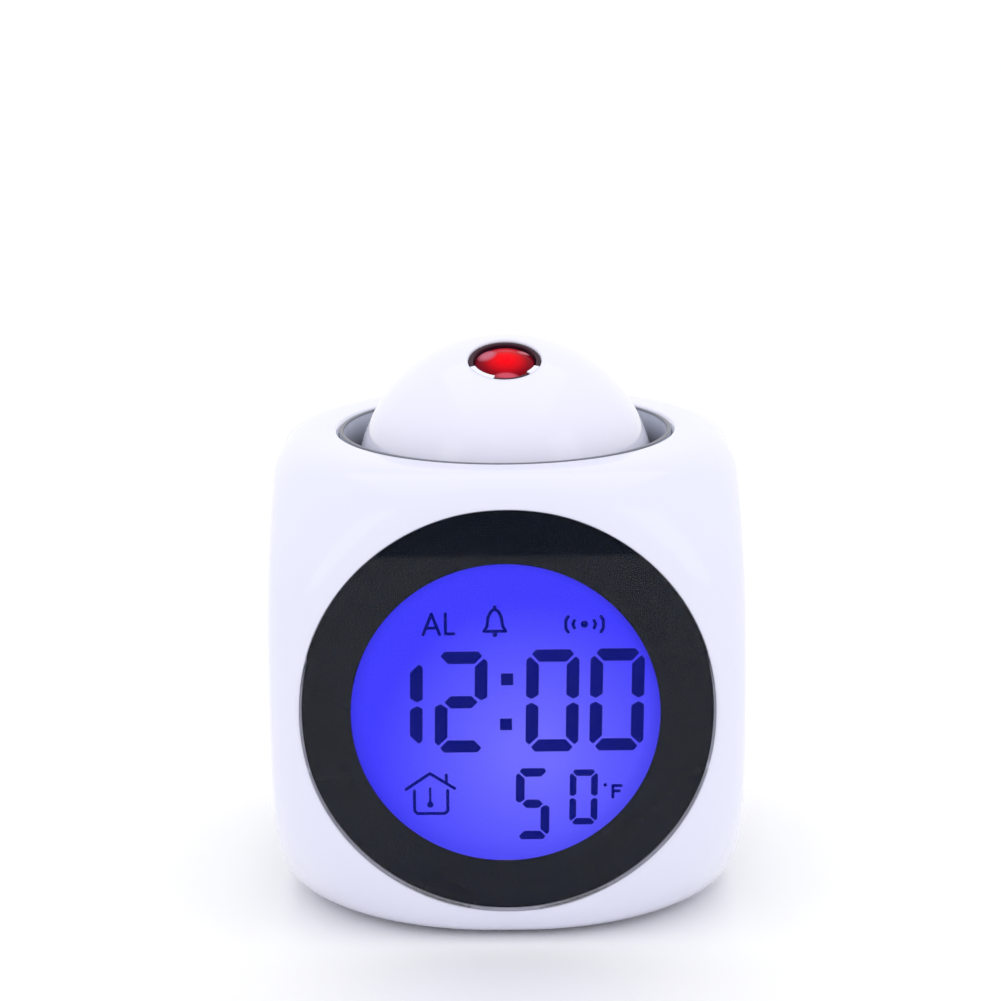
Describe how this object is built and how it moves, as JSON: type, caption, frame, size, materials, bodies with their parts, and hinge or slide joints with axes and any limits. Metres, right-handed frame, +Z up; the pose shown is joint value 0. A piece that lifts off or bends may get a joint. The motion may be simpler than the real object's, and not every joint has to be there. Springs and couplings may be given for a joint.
{
  "type": "projection alarm clock",
  "caption": "Cube-shaped white alarm clock with ball-trimmed corners, a round blue display and a tilting projector ball that presses down in a well on top.",
  "frame": {"origin": "on the resting plane, under the middle of the case", "axes": "+X to the right seen from the front, +Y to the back, +Z up"},
  "size_m": [0.082, 0.0826, 0.0994],
  "materials": {
    "case_white": "high gloss moulded plastic with a faint violet tint",
    "ball_white": "high gloss moulded plastic",
    "panel_white": "satin moulded plastic",
    "key_white": "semi gloss moulded plastic",
    "window_clear": "polished clear plastic",
    "border_black": "black print seen through the clear window",
    "lcd_blue": "lit blue liquid crystal panel with dark segments",
    "diffuser_white": "frosted light guide",
    "rubber_grey": "conductive rubber",
    "foot_rubber": "soft translucent rubber",
    "frame_grey": "matt moulded plastic",
    "well_dark": "matt black moulded plastic",
    "board_green": "glass fibre board with solder mask",
    "chip_black": "black resin",
    "nickel": "nickel plate",
    "steel": "zinc plated steel",
    "capacitor_sleeve": "printed plastic sleeve",
    "lens_red": "polished red acrylic",
    "lamp_clear": "clear epoxy",
    "film": "dark liquid crystal film with clear digits",
    "optic_black": "matt black moulded plastic",
    "bezel_dark": "black gloss plastic",
    "cell_jacket": "plain jacketed dry cell",
    "speaker_metal": "black painted pressed steel",
    "magnet": "ferrite",
    "cone_paper": "doped paper"
  },
  "bodies": {
    "case": {"front_shell": "case_white", "rear_shell": "case_white", "rubber_feet": "foot_rubber", "display_window": "window_clear", "window_border": "border_black", "lcd_panel": "lcd_blue", "backlight": "diffuser_white", "contact_strips": "rubber_grey", "lcd_frame": "frame_grey", "main_board": "board_green", "display_screws": "steel", "sealed_chip": "chip_black", "clock_crystal": "nickel", "capacitors": "capacitor_sleeve", "heat_sensor": "chip_black", "well_collar": "case_white", "projector_cup": "well_dark", "cradle_spring": "nickel", "press_switch": "chip_black", "rear_panel": "panel_white", "key_board": "board_green", "tact_switches": "chip_black", "key_board_screws": "steel", "slide_switch": "nickel", "speaker_basket": "speaker_metal", "speaker_magnet": "magnet", "speaker_cone": "cone_paper", "battery_tray": "panel_white", "battery_cells": "cell_jacket", "contact_springs": "nickel", "battery_contacts": "nickel", "case_screws": "steel"},
    "cradle": {"ball_cradle": "well_dark"},
    "projector_ball": {"ball_upper_shell": "ball_white", "ball_lower_shell": "ball_white", "tilt_pins": "steel", "lens_bezel": "bezel_dark", "projection_lens": "lens_red", "projector_barrel": "optic_black", "projector_film": "film", "projector_lamp": "lamp_clear", "projector_board": "board_green"},
    "press_stem": {"press_switch_stem": "frame_grey"},
    "mode_key": {"mode_key": "key_white"},
    "set_key": {"set_key": "key_white"},
    "up_key": {"up_key": "key_white"},
    "down_key": {"down_key": "key_white"},
    "slider": {"slide_knob": "key_white"},
    "door": {"battery_door": "case_white"}
  },
  "joints": [
    {"name": "dome_press", "type": "slide", "parent": "case", "child": "cradle", "axis": [0, 0, -1], "range_m": [0, 0.0012], "stiffness_N_per_m": 400, "springref_m": -0.002, "deforming": ["cradle_spring"]},
    {"name": "projector_tilt", "type": "hinge", "parent": "cradle", "child": "projector_ball", "pos_m": [0, 0, 0.0725], "axis": [1, 0, 0], "range_deg": [-76, 34]},
    {"name": "switch_press", "type": "slide", "parent": "case", "child": "press_stem", "axis": [0, 0, -1], "range_m": [0, 0.0012], "stiffness_N_per_m": 60, "springref_m": -0.001},
    {"name": "mode_key_press", "type": "slide", "parent": "case", "child": "mode_key", "axis": [0, -1, 0], "range_m": [0, 0.0008], "stiffness_N_per_m": 300, "springref_m": -0.001},
    {"name": "set_key_press", "type": "slide", "parent": "case", "child": "set_key", "axis": [0, -1, 0], "range_m": [0, 0.0008], "stiffness_N_per_m": 300, "springref_m": -0.001},
    {"name": "up_key_press", "type": "slide", "parent": "case", "child": "up_key", "axis": [0, -1, 0], "range_m": [0, 0.0008], "stiffness_N_per_m": 300, "springref_m": -0.001},
    {"name": "down_key_press", "type": "slide", "parent": "case", "child": "down_key", "axis": [0, -1, 0], "range_m": [0, 0.0008], "stiffness_N_per_m": 300, "springref_m": -0.001},
    {"name": "slider_slide", "type": "slide", "parent": "case", "child": "slider", "axis": [1, 0, 0], "range_m": [0, 0.003]},
    {"name": "door_swing", "type": "hinge", "parent": "case", "child": "door", "pos_m": [0, 0.0157, 0.0014], "axis": [1, 0, 0], "range_deg": [0, 90]}
  ],
  "couplings": [
    {"joint": "switch_press", "follows": "dome_press", "ratio": 1}
  ]
}
